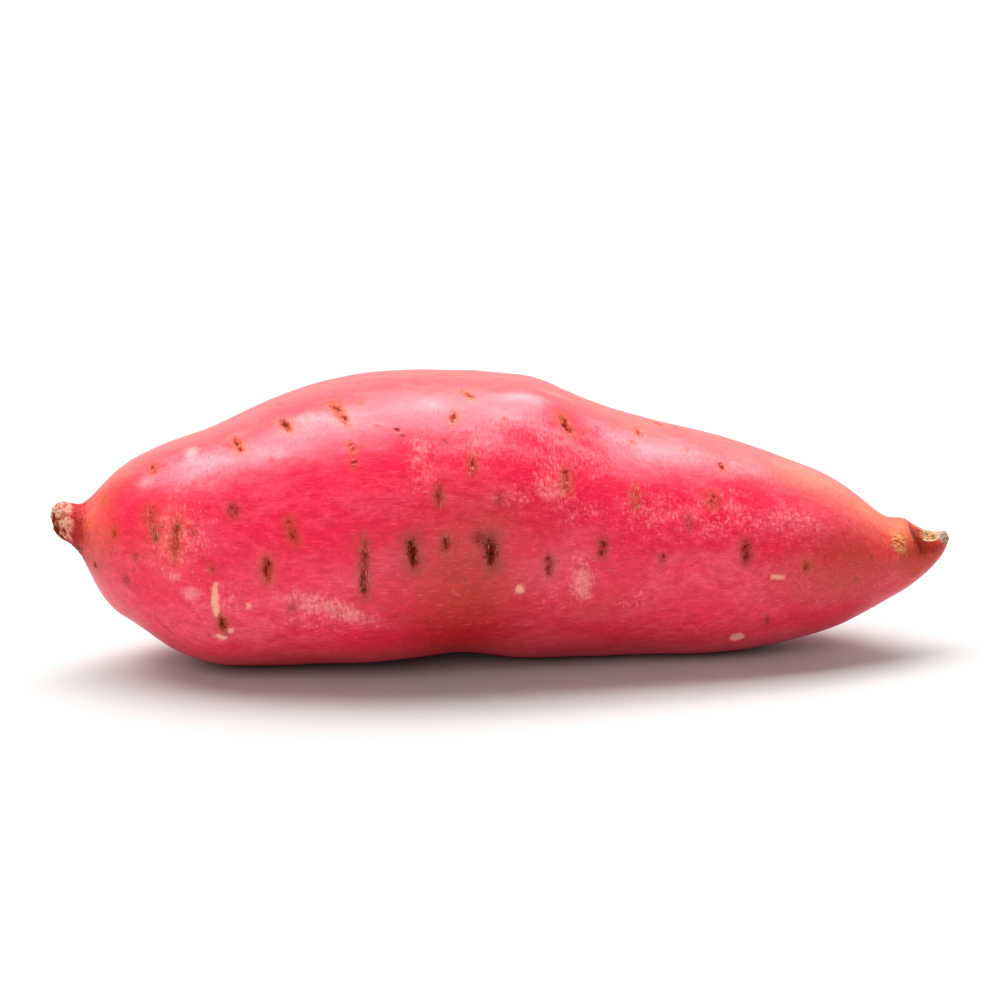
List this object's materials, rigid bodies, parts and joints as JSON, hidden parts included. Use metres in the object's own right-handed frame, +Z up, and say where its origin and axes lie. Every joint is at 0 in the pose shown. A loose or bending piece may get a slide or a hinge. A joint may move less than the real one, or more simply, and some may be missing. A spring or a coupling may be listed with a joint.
{
  "type": "sweet potato",
  "caption": "Whole raw sweet potato root with crimson-pink skin, a broken stem neck and a torn tail, lying on its side.",
  "frame": {"origin": "on the surface the root lies on, under the middle of its length and breadth", "axes": "+X along the root from its broken stem neck to its torn tail, +Y to its far side, +Z up"},
  "size_m": [0.2, 0.0692, 0.0643],
  "materials": {
    "skin": "thin crimson-pink skin, waxy and semi-matt, mottled paler, with brown corky root scars"
  },
  "bodies": {
    "root": {"sweet_potato": "skin"}
  },
  "joints": []
}
